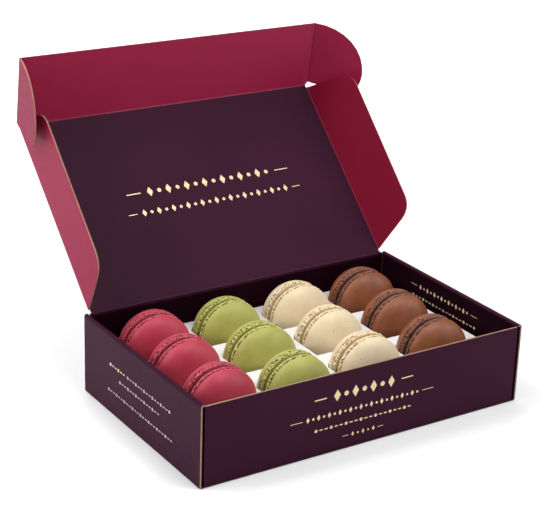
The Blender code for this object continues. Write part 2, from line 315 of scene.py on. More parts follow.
def is_base_fold(middle, along):
    at_side = abs(abs(middle.x) - HALF_WIDTH) < CLOSE_TO and abs(along.y) > 0.9
    at_end = abs(abs(middle.y) - HALF_DEPTH) < CLOSE_TO and abs(along.x) > 0.9
    return middle.z < CLOSE_TO / 2 and (at_side or at_end)


def is_cut_edge(middle, along):
    return middle.z > BASE_CUT_Z


def is_between(value, ends):
    return ends[0] < value < ends[1]


def is_raw_tray_face(centre, normal):
    """The rolled walls' ends, the front wall's top and the back wall's ends."""
    beside_slot = abs(centre.x) > SLOT_EDGE_X or (abs(centre.x) > INNER_LAYER_X and centre.z > ROLL_END_Z)
    wall_end = abs(normal.y) > 0.9 and beside_slot
    front_top = normal.z > 0.9 and centre.y < FRONT_INNER_Y and centre.z > FRONT_TOP_Z
    back_end = abs(normal.x) > 0.9 and centre.y > BACK_INNER_Y and is_between(abs(centre.x), BACK_END_X)
    return wall_end or front_top or back_end


def is_painted_shade_face(centre, normal):
    """Faces painted near-black as painted shade: the well that holds the insert, and the slots at the front
    corners.
    """
    well = abs(centre.x) < WALL_INNER_X + CLOSE_TO and is_between(centre.y, WELL_Y)
    slot = is_between(abs(centre.x), SLOT_X) and is_between(centre.y, SLOT_Y)
    return (well and is_between(centre.z, WELL_Z)) or (slot and centre.z < FRONT_EDGE_Z)


def split_flats(piece, place, direction):
    """Adds edges where a plane crosses the piece, so that parts of a flat can differ in colour."""
    make_active(piece)
    bpy.ops.object.mode_set(mode="EDIT")
    bpy.ops.mesh.select_all(action="SELECT")
    bpy.ops.mesh.bisect(plane_co=place, plane_no=direction)
    bpy.ops.object.mode_set(mode="OBJECT")


split_flats(tray, (SLOT_EDGE_X, 0.0, 0.0), (1.0, 0.0, 0.0))
split_flats(tray, (-SLOT_EDGE_X, 0.0, 0.0), (1.0, 0.0, 0.0))
split_flats(tray, (0.0, 0.0, ROLL_END_Z), (0.0, 0.0, 1.0))
ease_edges(tray, FOLD_EASE, 3, is_base_fold)
ease_edges(tray, CUT_EASE, 2, is_cut_edge)
# The well's walls and the corner slots get the painted shade.
mark_faces(tray, is_painted_shade_face, 2)
mark_faces(tray, is_raw_tray_face, 1)
smooth_flats(tray)
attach(tray, "root")
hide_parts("tray")

# The back wall's cut end shows as a thin brown line in the tray's back right corner, darkened with painted
# shade.
bpy.ops.mesh.primitive_cube_add(size=1.0, location=CORNER_LINE_PLACE)
corner_line = bpy.context.object
corner_line.name = "corner_line"
corner_line.scale = CORNER_LINE_SIZE
make_active(corner_line)
bpy.ops.object.transform_apply(location=True, rotation=True, scale=True)
corner_line.data.materials.append(dark_cut)
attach(corner_line, "root")


# Insert
# A thin white sheet formed into twelve half-round pockets, dropped in loose.
# Its surface is matt and faintly felted like pressed pulp board.

WHITE_SHEET = (0.76, 0.75, 0.745)
WHITE_SHADE = (0.64, 0.63, 0.625)
RIM_LOW_Z = 0.0304
RIM_EASE = 0.0003
RIM_LEAN = 0.0007
RIM_SPARE = 0.0004
RIM_MOVE = 0.0010
RIM_REACH = 0.003
POCKET_HALF = 0.0215
BORDER_X = 0.1015
BORDER_Y = (-0.0582, 0.0650)

white_sheet = make_board_material("white_sheet", WHITE_SHEET, WHITE_SHADE, 0.75, 0.20, 0.45, 0.15)

insert = dress("insert", "insert_sheet")
insert.data.materials.append(white_sheet)
ease_edges(insert, RIM_EASE, 2, lambda middle, along: middle.z > RIM_LOW_Z)
make_active(insert)
bpy.ops.object.mode_set(mode="EDIT")
bpy.ops.mesh.select_all(action="SELECT")
bpy.ops.mesh.quads_convert_to_tris(quad_method="BEAUTY", ngon_method="BEAUTY")
bpy.ops.object.mode_set(mode="OBJECT")

# Each pocket's rim leans in at both sides and round the back dome, so that it all
# but touches the macaron
shell_forms, stands = [], []
for name, node in frame["nodes"].items():
    spots = [vertex.co for vertex in node.data.vertices]
    if "_shell_" in name:
        shell_forms.append(BVHTree.FromPolygons(spots, [face.vertices for face in node.data.polygons]))
    if name.endswith("_filling"):
        stands.append(Vector(np.mean(spots, axis=0)))
for vertex in insert.data.vertices:
    at_border = abs(vertex.co.x) > BORDER_X or not is_between(vertex.co.y, BORDER_Y)
    if vertex.co.z > RIM_LOW_Z and not at_border:
        stand = min(stands, key=lambda spot: (spot.xy - vertex.co.xy).length)
        away = vertex.co.x - stand.x
        vertex.co.x -= math.copysign(RIM_LEAN * min(1.0, abs(away) / POCKET_HALF) ** 6, away)
        touches = [form.find_nearest(vertex.co, RIM_REACH) for form in shell_forms]
        nearest = min((touch for touch in touches if touch[0]), key=lambda touch: touch[3], default=None)
        if nearest and vertex.co.y > stand.y:
            towards = (nearest[0] - vertex.co).to_2d().to_3d()
            vertex.co += towards.normalized() * min(RIM_MOVE, max(0.0, nearest[3] - RIM_SPARE))

smooth_flats(insert)
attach(insert, "root")
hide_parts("insert")


# Macaron shells
# Twenty-four baked almond shells: a smooth plump dome over a ruffled foot, with
# a row of torn pits under the dome's lip and more of them round the foot.

SHELL_RADIUS = 0.0210
SHELL_FOOT = 0.0032
SHELL_CROWN = 0.0114
DOME_FULLNESS = 0.9
AROUND = 420
FOOT_RINGS = 30
DOME_RINGS = 14
LIP_HEIGHT = 0.0040
LIP_SHARE = 0.988
SHOULDER_SHARE = math.sin(math.radians(78)) ** DOME_FULLNESS
NOTCH = {"front": 0.0027, "back": 0.0031}
NOTCH_WAVE = 0.00022
PIT_DEPTH = 0.00085
SWELL = 0.00012
RIPPLE = 0.00007
COARSE_CRAG = 0.00016
FINE_CRAG = 0.00010
CRAGGY = {"front": 1.5, "back": 2.6}
# Rows of pits: height from the notch, spread, how many, half length, half width
PIT_ROWS = {
    "front": ((-0.0001, 0.00022, 74, 0.00086, 0.00054), (-0.0012, 0.00050, 38, 0.00055, 0.00034)),
    "back": ((-0.0001, 0.00028, 72, 0.00080, 0.00050), (-0.0012, 0.00048, 58, 0.00076, 0.00046),
             (-0.0022, 0.00035, 44, 0.00060, 0.00036)),
}
# Each flavour's pit colour is painted shade in the pits, and its seam colour is painted shade along the
# shell's base by the filling. Its filling colour is the cream's own colour, darkened with painted shade for
# the groove between the shells.
FLAVOURS = {
    "pink": {"skin": (0.47, 0.034, 0.070), "deep": (0.34, 0.014, 0.034), "pit": (0.190, 0.004, 0.015),
             "light": (0.60, 0.075, 0.13), "speck": (0.22, 0.006, 0.018), "seam": (0.17, 0.0035, 0.013),
             "filling": (0.085, 0.0016, 0.0065), "specks": 0.6, "gloss": 0.40, "bloom": 0.10},
    "green": {"skin": (0.40, 0.40, 0.098), "deep": (0.31, 0.29, 0.052), "pit": (0.095, 0.082, 0.009),
              "light": (0.56, 0.58, 0.17), "speck": (0.20, 0.19, 0.035), "seam": (0.20, 0.19, 0.024),
              "filling": (0.160, 0.145, 0.013), "specks": 0.6, "gloss": 0.40, "bloom": 0.10},
    "cream": {"skin": (0.74, 0.61, 0.415), "deep": (0.64, 0.495, 0.31), "pit": (0.34, 0.195, 0.075),
              "light": (0.78, 0.68, 0.47), "speck": (0.16, 0.09, 0.04), "seam": (0.46, 0.30, 0.115),
              "filling": (0.42, 0.26, 0.080), "specks": 0.8, "gloss": 0.40, "bloom": 0.10},
    "brown": {"skin": (0.262, 0.076, 0.024), "deep": (0.150, 0.035, 0.010), "pit": (0.040, 0.0085, 0.0035),
              "light": (0.21, 0.064, 0.027), "speck": (0.08, 0.024, 0.011), "seam": (0.046, 0.011, 0.0045),
              "filling": (0.014, 0.0040, 0.0020), "specks": 0.6, "gloss": 0.52, "bloom": 0.01},
}


def shell_stations(notch):
    """Radius and height of each ring, as shares of the shell's radius and in metres."""
    foot = [(0.0, 0.945), (0.0003, 0.966), (0.0008, 0.984), (0.0014, 0.991), (notch - 0.0007, 0.986),
            (notch - 0.0003, 0.972), (notch, 0.960), (notch + 0.0003, 0.966), (notch + 0.0006, 0.977),
            (LIP_HEIGHT, LIP_SHARE)]
    heights, shares = zip(*foot)
    rings = []
    for step in range(FOOT_RINGS):
        height = LIP_HEIGHT * step / (FOOT_RINGS - 1)
        rings.append((SHELL_RADIUS * float(np.interp(height, heights, shares)), height))
    lip_angle = math.acos((LIP_HEIGHT - SHELL_FOOT) / SHELL_CROWN)
    for step in range(1, DOME_RINGS + 1):
        angle = lip_angle * (1 - step / (DOME_RINGS + 1))
        share = LIP_SHARE * (math.sin(angle) / math.sin(lip_angle)) ** DOME_FULLNESS
        rings.append((SHELL_RADIUS * share, SHELL_FOOT + SHELL_CROWN * math.cos(angle)))
    return rings


def turn_form(name, rings, pole):
    """Turned form: a ring extruded and resized station by station, closed below and at its pole."""
    deselect_all()
    radius, height = rings[0]
    bpy.ops.mesh.primitive_circle_add(vertices=AROUND, radius=radius, fill_type="NOTHING",
                                      location=(0.0, 0.0, height))
    piece = bpy.context.object
    piece.name = name
    bpy.ops.object.transform_apply(location=True, rotation=True, scale=True)
    bpy.ops.object.mode_set(mode="EDIT")
    bpy.ops.mesh.select_mode(type="EDGE")
    bpy.ops.mesh.select_all(action="SELECT")
    for (before, low), (after, high) in zip(rings, rings[1:]):
        bpy.ops.mesh.extrude_edges_move(TRANSFORM_OT_translate={"value": (0.0, 0.0, high - low)})
        share = after / before
        bpy.ops.transform.resize(value=(share, share, 1.0), center_override=(0.0, 0.0, high))
    bpy.ops.mesh.extrude_edges_move(TRANSFORM_OT_translate={"value": (0.0, 0.0, pole - rings[-1][1])})
    bpy.ops.mesh.merge(type="CENTER")
    bpy.ops.object.mode_set(mode="OBJECT")
    close_base(piece, rings[0][1])
    return piece


def close_base(piece, height):
    """Fills the open ring at the form's foot with a flat face."""
    bpy.ops.object.mode_set(mode="EDIT")
    bpy.ops.mesh.select_all(action="DESELECT")
    sheet = bmesh.from_edit_mesh(piece.data)
    for edge in sheet.edges:
        if edge.is_boundary and abs(edge.verts[0].co.z - height) < 1e-6:
            edge.select_set(True)
    bmesh.update_edit_mesh(piece.data)
    bpy.ops.mesh.edge_face_add()
    bpy.ops.mesh.select_all(action="SELECT")
    bpy.ops.mesh.normals_make_consistent(inside=False)
    bpy.ops.object.mode_set(mode="OBJECT")


def lumps(draw, angle, height, count, pitch):
    """Soft bumps between -1 and 1 on a seeded grid that closes round the form."""
    low = height.min()
    rows = int((height.max() - low) / pitch) + 3
    grid = np.array([[draw.uniform(-1, 1) for _ in range(count)] for _ in range(rows)])
    across = (angle / (2 * math.pi) % 1.0) * count
    up = (height - low) / pitch
    column, row = np.floor(across).astype(int), np.floor(up).astype(int)
    u, v = across - column, up - row
    u, v = u * u * (3 - 2 * u), v * v * (3 - 2 * v)
    column = column % count
    after = (column + 1) % count
    lower = grid[row, column] * (1 - u) + grid[row, after] * u
    upper = grid[row + 1, column] * (1 - u) + grid[row + 1, after] * u
    return lower * (1 - v) + upper * v


def torn_pits(draw, angle, height, row_height, spread, count, length, width):
    """Share of pit at each point: a broken row of short dashes round the shell."""
    share = np.zeros(len(angle))
    for step in range(count):
        centre = 2 * math.pi * (step + draw.uniform(-0.34, 0.34)) / count
        level = row_height + draw.uniform(-spread, spread)
        half_length = length * draw.uniform(0.45, 1.25)
        half_width = width * draw.uniform(0.7, 1.3)
        depth = draw.uniform(0.35, 1.0) ** 0.6
        tilt = draw.uniform(-0.18, 0.18)
        along = (np.mod(angle - centre + math.pi, 2 * math.pi) - math.pi) * SHELL_RADIUS
        near = np.abs(along) < 3 * half_length
        offset = height[near] - level - tilt * along[near]
        reach = (along[near] / half_length) ** 2 + (offset / half_width) ** 2
        share[near] = np.maximum(share[near], depth * np.exp(-reach ** 1.6))
    return share


def read_points(piece):
    points = np.zeros(len(piece.data.vertices) * 3)
    piece.data.vertices.foreach_get("co", points)
    return points.reshape(-1, 3)


def write_points(piece, points):
    piece.data.vertices.foreach_set("co", points.ravel())
    piece.data.update()


def store_share(piece, name, values):
    attribute = piece.data.attributes.new(name, "FLOAT", "POINT")
    attribute.data.foreach_set("value", values.astype(np.float32))


def sculpt_shell(piece, draw, side, notch, crown):
    """Ruffles the foot, tears the pits and leaves the dome nearly smooth."""
    points = read_points(piece)
    angle = np.arctan2(points[:, 1], points[:, 0])
    height = points[:, 2].copy()
    away = np.hypot(points[:, 0], points[:, 1])
    rim = away > SHELL_RADIUS * 0.9
    foot = np.clip((notch + 0.0004 - height) / 0.0006, 0, 1) * rim
    lip = np.exp(-((height - notch - 0.0008) / 0.0005) ** 2)
    level = height + NOTCH_WAVE * lumps(draw, angle, height, 150, 0.0009)
    pits = np.zeros(len(points))
    for ahead, *shape in PIT_ROWS[side]:
        pits = np.maximum(pits, torn_pits(draw, angle, level, notch + ahead, *shape))
    pits *= rim * np.clip(1.0 + 1.1 * lumps(draw, angle, height, 230, 0.0005), 0.15, 1.2)
    crags = COARSE_CRAG * lumps(draw, angle, height, 84, 0.0011)
    crags += FINE_CRAG * lumps(draw, angle, height, 210, 0.0005)
    swell = SWELL * lumps(draw, angle, height, 9, 0.006)
    ripple = RIPPLE * lumps(draw, angle, height, 44, 0.002)
    change = foot * CRAGGY[side] * crags + swell + (1 - foot) * ripple * lip - PIT_DEPTH * pits
    scale = 1 + change / np.maximum(away, 0.004)
    points[:, 0] *= scale
    points[:, 1] *= scale
    points[:, 2] += np.where(height > SHELL_FOOT, (height - SHELL_FOOT) * (crown / SHELL_CROWN - 1), 0.0)
    write_points(piece, points)
    # The pit share also marks where the colour is darkened with painted shade.
    store_share(piece, "pit", pits)
    store_share(piece, "foot", foot)
    # Share near the shell's base, by the filling, where the colour gets painted shade.
    store_share(piece, "seam", np.exp(-(height / 0.00055) ** 2))


def unique_points(node):
    spots = {tuple(round(c, 6) for c in v.co) for v in frame["nodes"][node].data.vertices}
    return np.array(sorted(spots))


def find_stance(label, side):
    """Where a form made along +Z stands on a packed shell's inner face, its size and its crown."""
    front = unique_points(f"{label}_shell_front").mean(axis=0)
    back = unique_points(f"{label}_shell_back").mean(axis=0)
    axis = Vector(front - back).normalized() * (1 if side == "front" else -1)
    points = unique_points(f"{label}_shell_{side}")
    reach = points @ np.array(axis)
    middle = Vector(unique_points(f"{label}_filling").mean(axis=0))
    base = middle + axis * (reach.min() - middle.dot(axis))
    level = reach - reach.min()
    shoulder = (level > SHELL_FOOT + 0.0010) & (level < SHELL_FOOT + 0.0035)
    spread = points[shoulder] - np.array(base) - np.outer(level[shoulder], np.array(axis))
    size = float(np.linalg.norm(spread, axis=1).mean()) / SHELL_RADIUS / SHOULDER_SHARE
    turn = axis.to_track_quat("Z", "Y").to_matrix().to_4x4()
    return Matrix.Translation(base) @ turn, size, level.max() / size - SHELL_FOOT


def make_skin_group():
    """Baked almond skin: cloudy tone, fine grain and stray specks, with painted shade in the pits and along
    the base by the filling.
    """
    group, start, end = new_group(
        "almond_skin",
        [("Skin", "NodeSocketColor", (1, 1, 1, 1)), ("Deep", "NodeSocketColor", (1, 1, 1, 1)),
         ("Light", "NodeSocketColor", (1, 1, 1, 1)), ("Pit", "NodeSocketColor", (1, 1, 1, 1)),
         ("Speck", "NodeSocketColor", (1, 1, 1, 1)), ("Seam", "NodeSocketColor", (1, 1, 1, 1)),
         ("Speck share", "NodeSocketFloat", 0.3)],
        [("Colour", "NodeSocketColor"), ("Roughness", "NodeSocketFloat"), ("Height", "NodeSocketFloat")])
    place = place_node(group, "ShaderNodeTexCoord", 0, 2).outputs["Object"]
    cloud = add_noise(group, place, 95.0, 3.0, 2, 1)
    grain = add_noise(group, place, 1400.0, 4.0, 2, 2)
    cells = place_node(group, "ShaderNodeTexVoronoi", 2, 3)
    cells.inputs["Scale"].default_value = 620.0
    group.links.new(place, cells.inputs["Vector"])
    dot = remap(group, cells.outputs["Distance"], 0.13, 0.20, 1.0, 0.0, 3, 3)
    pick = place_node(group, "ShaderNodeSeparateColor", 3, 4)
    group.links.new(cells.outputs["Color"], pick.inputs["Color"])
    rare = remap(group, pick.outputs["Red"], 0.90, 0.94, 0.0, 1.0, 4, 4)
    specks = combine_values(group, "MULTIPLY", dot, rare, 5, 3)
    specks = combine_values(group, "MULTIPLY", specks, start.outputs["Speck share"], 6, 3)
    foot = place_node(group, "ShaderNodeAttribute", 2, 5)
    foot.attribute_name = "foot"
    pit = place_node(group, "ShaderNodeAttribute", 2, 6)
    pit.attribute_name = "pit"
    tone = remap(group, cloud, 0.32, 0.68, 0.0, 0.55, 3, 1)
    fine = remap(group, grain, 0.35, 0.70, 0.0, 0.22, 3, 2)
    tone = combine_values(group, "ADD", tone, fine, 4, 1)
    crumbs = remap(group, grain, 0.40, 0.60, 0.85, 0.25, 4, 2)
    crumbs = combine_values(group, "MULTIPLY", crumbs, foot.outputs["Fac"], 5, 2)
    colour = mix_colours(group, tone, start.outputs["Skin"], start.outputs["Deep"], 5, 1)
    colour = mix_colours(group, crumbs, colour, start.outputs["Light"], 6, 1)
    colour = mix_colours(group, specks, colour, start.outputs["Speck"], 7, 1)
    # Painted shade in the pits: the pit share darkens the colour.
    pit_shade = remap(group, pit.outputs["Fac"], 0.08, 0.36, 0.0, 1.0, 6, 6)
    colour = mix_colours(group, pit_shade, colour, start.outputs["Pit"], 7, 2)
    # Painted shade along the shell's base, in the groove by the filling.
    seam = place_node(group, "ShaderNodeAttribute", 6, 8)
    seam.attribute_name = "seam"
    shade = combine_values(group, "MULTIPLY", seam.outputs["Fac"], 0.75, 7, 8)
    colour = mix_colours(group, shade, colour, start.outputs["Seam"], 8, 2)
    rough = remap(group, grain, 0.3, 0.7, 0.44, 0.60, 6, 4)
    group.links.new(colour, end.inputs["Colour"])
    group.links.new(rough, end.inputs["Roughness"])
    group.links.new(grain, end.inputs["Height"])
    return group


almond_skin = make_skin_group()


def make_skin_material(name, tones):
    material, tree, shader = new_material(name, tones["skin"])
    skin = place_node(tree, "ShaderNodeGroup", -2, 1)
    skin.node_tree = almond_skin
    for label in ("Skin", "Deep", "Light", "Pit", "Speck", "Seam"):
        skin.inputs[label].default_value = (*tones[label.lower()], 1.0)
    skin.inputs["Speck share"].default_value = tones["specks"]
    tree.links.new(skin.outputs["Colour"], shader.inputs["Base Color"])
    tree.links.new(skin.outputs["Roughness"], shader.inputs["Roughness"])
    add_bump(tree, shader, skin.outputs["Height"], 0.35, 0.00006)
    shader.inputs["Specular IOR Level"].default_value = tones["gloss"]
    shader.inputs["Sheen Weight"].default_value = tones["bloom"]
    return material


blanks = {side: turn_form(f"blank_{side}", shell_stations(notch), SHELL_FOOT + SHELL_CROWN)
          for side, notch in NOTCH.items()}
draw = random.Random(31)

for flavour, tones in FLAVOURS.items():
    skin_material = make_skin_material(f"{flavour}_skin", tones)
    for row in (1, 2, 3):
        for side in ("front", "back"):
            stance, size, crown = find_stance(f"{flavour}_{row}", side)
            shell = bpy.data.objects.new(f"{flavour}_{row}_{side}_shell", blanks[side].data.copy())
            bpy.context.collection.objects.link(shell)
            sculpt_shell(shell, draw, side, NOTCH[side], crown)
            spin = Matrix.Rotation(draw.uniform(0, 2 * math.pi), 4, "Z")
            shell.data.transform(stance @ Matrix.Scale(size, 4) @ spin)
            shell.data.materials.append(skin_material)
            shell.data.shade_smooth()
            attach(shell, "root")
            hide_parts(f"{flavour}_{row}_shell_{side}")

for blank in blanks.values():
    bpy.data.objects.remove(blank)


# Fillings
# A disc of cream piped between each pair of shells and pressed until it nearly
# reaches the feet, with a soft uneven rim.

# The fillings' colours are partly their own and partly painted shade, darkened for the groove between the
# shells.
FILLING_RADIUS = 0.0193
FILLING_HALF = 0.00110
SAG = 0.00022
SMALL_SAG = 0.00010


def make_filling_material(name, colour):
    material, tree, shader = new_material(name, colour)
    place = place_node(tree, "ShaderNodeTexCoord", -5, 1).outputs["Object"]
    swirl = add_noise(tree, place, 380.0, 3.0, -4, 1)
    tone = remap(tree, swirl, 0.35, 0.65, 0.0, 0.5, -3, 1)
    shade = tuple(0.62 * channel for channel in colour)
    tree.links.new(mix_colours(tree, tone, colour, shade, -2, 1), shader.inputs["Base Color"])
    rough = remap(tree, swirl, 0.3, 0.7, 0.34, 0.5, -3, 2)
    tree.links.new(rough, shader.inputs["Roughness"])
    add_bump(tree, shader, swirl, 0.5, 0.0002)
    return material


rim = []
for step in range(9):
    height = FILLING_HALF * (step / 4 - 1)
    rim.append((FILLING_RADIUS * (0.982 + 0.022 * math.cos(math.pi / 2 * (step / 4 - 1))), height))
blank_filling = turn_form("blank_filling", rim, FILLING_HALF)

for flavour, tones in FLAVOURS.items():
    cream = make_filling_material(f"{flavour}_cream", tones["filling"])
    for row in (1, 2, 3):
        stance, size, _ = find_stance(f"{flavour}_{row}", "front")
        middle = Vector(unique_points(f"{flavour}_{row}_filling").mean(axis=0))
        filling = bpy.data.objects.new(f"{flavour}_{row}_cream", blank_filling.data.copy())
        bpy.context.collection.objects.link(filling)
        points = read_points(filling)
        angle = np.arctan2(points[:, 1], points[:, 0])
        away = np.hypot(points[:, 0], points[:, 1])
        sag = SAG * lumps(draw, angle, points[:, 2], 26, 0.002)
        sag += SMALL_SAG * lumps(draw, angle, points[:, 2], 80, 0.0012)
        scale = 1 + np.where(away > FILLING_RADIUS * 0.9, sag / FILLING_RADIUS, 0.0)
        points[:, 0] *= scale
        points[:, 1] *= scale
        write_points(filling, points)
        turn = stance.to_3x3().to_4x4()
        filling.data.transform(Matrix.Translation(middle) @ turn @ Matrix.Scale(size, 4))
        filling.data.materials.append(cream)
        filling.data.shade_smooth()
        filling.data.set_sharp_from_angle(angle=CORNER_ANGLE)
        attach(filling, "root")
        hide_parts(f"{flavour}_{row}_filling")

bpy.data.objects.remove(blank_filling)


# Lid, flaps, tuck and ears
# The rest of the blank: a plum lid panel with berry red side flaps, tuck panel
# and ears, die-cut with round corners, so that brown board shows along the edges.

# The berry print comes in copies of different lightness, painted light for the light that each face gets:
# the darkest on the flaps' inner faces, the lightest on the tuck's and ears' inner faces, and two between
# them on the outer faces, one for the flaps and tuck and one for the ears.
BERRY = (0.175, 0.0015, 0.019)
BERRY_WORN = (0.190, 0.0040, 0.026)
BERRY_PAINTED_LIGHT = (0.300, 0.0085, 0.048)
BERRY_PAINTED_LIGHT_WORN = (0.320, 0.0140, 0.062)
BERRY_OUTSIDE_PAINTED_LIGHT = (0.235, 0.006, 0.040)
BERRY_OUTSIDE_PAINTED_LIGHT_WORN = (0.250, 0.012, 0.050)
BERRY_EAR_PAINTED_LIGHT = (0.205, 0.0050, 0.036)
BERRY_EAR_PAINTED_LIGHT_WORN = (0.220, 0.010, 0.044)
INNER_POINT = Vector((0.0, 0.02, 0.20))
FOLD_REACH = 1.5 * BOARD

berry_print = make_board_material("berry_print", BERRY, BERRY_WORN, 0.50, 0.12, 0.25, 0.06)
berry_painted_light = make_board_material("berry_painted_light", BERRY_PAINTED_LIGHT, BERRY_PAINTED_LIGHT_WORN, 0.50, 0.12, 0.25, 0.18)
berry_outside_painted_light = make_board_material(
    "berry_outside_painted_light", BERRY_OUTSIDE_PAINTED_LIGHT, BERRY_OUTSIDE_PAINTED_LIGHT_WORN, 0.50, 0.12, 0.25, 0.14)
berry_ear_painted_light = make_board_material("berry_ear_painted_light", BERRY_EAR_PAINTED_LIGHT, BERRY_EAR_PAINTED_LIGHT_WORN, 0.50, 0.12, 0.25, 0.06)


def board_plane(node):
    """Middle point and face direction of a flat packed panel."""
    mesh = frame["nodes"][node].data
    broad = max(mesh.polygons, key=lambda face: face.area)
    return Vector(unique_points(node).mean(axis=0)), broad.normal.copy()


def beside_crease(centre):
    """Whether a face lies in a fold, where the board goes on and shows no cut."""
    for joint in frame["joints"]:
        axis = Vector(joint["axis"]).normalized()
        offset = centre - Vector(joint["pos_m"])
        if (offset - axis * offset.dot(axis)).length < FOLD_REACH:
            return True
    return False


def dress_panel(node, name, body, inks):
    """Panel with eased cut edges, printed on both faces and raw along its rim."""
    panel = dress(node, name)
    for ink in inks:
        panel.data.materials.append(ink)
    middle, facing = board_plane(node)
    if facing.dot(INNER_POINT - middle) < 0:
        facing = -facing
    ease_edges(panel, CUT_EASE, 2, lambda middle, along: abs(along.dot(facing)) < 0.5)
    mark_faces(panel, lambda centre, normal: abs(normal.dot(facing)) < 0.3 and not beside_crease(centre), 1)
    mark_faces(panel, lambda centre, normal: normal.dot(facing) < -0.3, 2)
    smooth_flats(panel)
    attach(panel, body)
    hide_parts(node)
    return panel


berry_inks = {"flap": (berry_print, brown_cut, berry_outside_painted_light), "ear": (berry_painted_light, brown_cut, berry_ear_painted_light)}
dress_panel("lid_panel", "lid_board", "lid", (plum_print, brown_cut, plum_outside))
dress_panel("tuck_panel", "tuck_board", "tuck", (berry_painted_light, dark_cut, berry_outside_painted_light))
for kind, inks in berry_inks.items():
    for side in ("left", "right"):
        dress_panel(f"{kind}_{side}", f"{kind}_{side}_board", f"{side}_{kind}", inks)


# Creases
# Scored folds that join the panels. The board is stretched round outside the
# fold and pinched inside it, so the ink there is thinner and a little lighter.

CREASE_GAP = 0.0003
CREASE_OVERLAP = 0.00016
CREASE_SINK = 0.00003
CREASE_STEPS = 8
CREASE_PINCH = 0.97
EDGE_REACH = 0.0022
WALL_LAP = 0.0007
WALL_CORNER = 0.0004
# Round part of the lid's own fold, as (back, up) from its hinge
FOLD_ROUND = ((-0.00095, -0.00005), (-0.00055, 0.00018), (-0.00010, 0.00026))
RUBBED = (0.22, 0.024, 0.056)
RUBBED_WORN = (0.33, 0.065, 0.105)

plum_crease = make_board_material("plum_crease", PLUM, PLUM_WORN, 0.55, 0.2, 0.4, 0.16)
berry_crease = make_board_material("berry_crease", BERRY, BERRY_WORN, 0.50, 0.3, 0.5, 0.2)
rubbed_crease = make_board_material("rubbed_crease", RUBBED, RUBBED_WORN, 0.55, 0.3, 0.5, 0.12)


def joint_line(name):
    joint = next(j for j in frame["joints"] if j["name"] == name)
    return Vector(joint["pos_m"]), Vector(joint["axis"]).normalized(), joint["parent"], joint["child"]


def sweep_section(name, section, low, high, axis):
    """Closed strip: one outline, extruded along a crease from low to high."""
    sheet = bpy.data.meshes.new(name)
    sheet.from_pydata([point + axis * low for point in section], [], [tuple(range(len(section)))])
    piece = bpy.data.objects.new(name, sheet)
    bpy.context.collection.objects.link(piece)
    make_active(piece)
    bpy.ops.object.mode_set(mode="EDIT")
    bpy.ops.mesh.select_all(action="SELECT")
    bpy.ops.mesh.extrude_region_move(TRANSFORM_OT_translate={"value": axis * (high - low)})
    bpy.ops.mesh.select_all(action="SELECT")
    bpy.ops.mesh.normals_make_consistent(inside=False)
    bpy.ops.object.mode_set(mode="OBJECT")
    bpy.ops.object.shade_smooth_by_angle(angle=math.radians(40))
    return piece


def panel_side(node, origin, axis):
    """Directions from the crease into a panel and out through its outer face."""
    middle, facing = board_plane(node)
    inward = middle - origin
    inward -= axis * inward.dot(axis)
    outer = facing if facing.dot(inward) > 0 else -facing
    inward = (inward - facing * inward.dot(facing)).normalized()
    return inward, outer


def span_along(node, origin, axis):
    """Lowest and highest place of the panel's edge beside the crease."""
    points = unique_points(node) - np.array(origin)
    beside = points @ np.array(axis)
    off = np.linalg.norm(points - np.outer(beside, np.array(axis)), axis=1)
    near = beside[off < EDGE_REACH]
    return near.min(), near.max()


def make_crease(name, joint, first, second, ink):
    origin, axis, parent, child = joint_line(joint)
    into_first, out_first = panel_side(first, origin, axis)
    into_second, out_second = panel_side(second, origin, axis)
    reach = CREASE_GAP + CREASE_OVERLAP
    thick = BOARD - CREASE_SINK
    section = [into_first * reach + out_first * CREASE_SINK, into_first * reach + out_first * thick]
    for step in range(CREASE_STEPS + 1):
        section.append(out_first.slerp(out_second, step / CREASE_STEPS) * thick * CREASE_PINCH)
    section.append(into_second * reach + out_second * thick)
    section.append(into_second * reach + out_second * CREASE_SINK)
    low_first, high_first = span_along(first, origin, axis)
    low_second, high_second = span_along(second, origin, axis)
    low, high = max(low_first, low_second), min(high_first, high_second)
    strip = sweep_section(name, [origin + point for point in section], low, high, axis)
    strip.data.materials.append(ink)
    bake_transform(strip)


make_crease("crease_tuck", "tuck_crease", "lid_panel", "tuck_panel", rubbed_crease)
for kind, holder in (("flap", "lid_panel"), ("ear", "tuck_panel")):
    for side in ("left", "right"):
        panel = f"{kind}_{side}"
        make_crease(f"crease_{panel}", f"{panel}_crease", holder, panel, berry_crease)

# The lid's own fold runs from the back wall's top edge to the lid's lower edge
hinge, hinge_axis, _, _ = joint_line("lid_hinge")
into_lid, out_lid = panel_side("lid_panel", hinge, hinge_axis)
lid_reach = CREASE_GAP + CREASE_OVERLAP
wall_inner_y = -BOARD + CREASE_SINK
fold = [Vector((0.0, wall_inner_y, -WALL_LAP)), Vector((0.0, wall_inner_y, -WALL_CORNER))]
fold += [Vector((0.0, back, up)) for back, up in FOLD_ROUND]
fold.append(into_lid * lid_reach + out_lid * CREASE_SINK)
fold.append(into_lid * lid_reach + out_lid * (BOARD - CREASE_SINK))
fold.append(Vector((0.0, -CREASE_SINK, -WALL_LAP)))
hinge_low, hinge_high = span_along("lid_panel", hinge, hinge_axis)
outline = [hinge + point for point in fold]
hinge_strip = sweep_section("crease_lid", outline, hinge_low, hinge_high, hinge_axis)
hinge_strip.data.materials.append(plum_crease)
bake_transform(hinge_strip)


# Gold ornament
# Thin stamped gold in plain rows of lozenges, dots and rules. It is
# raised by a few hundredths of a millimetre on the lid and on three walls.

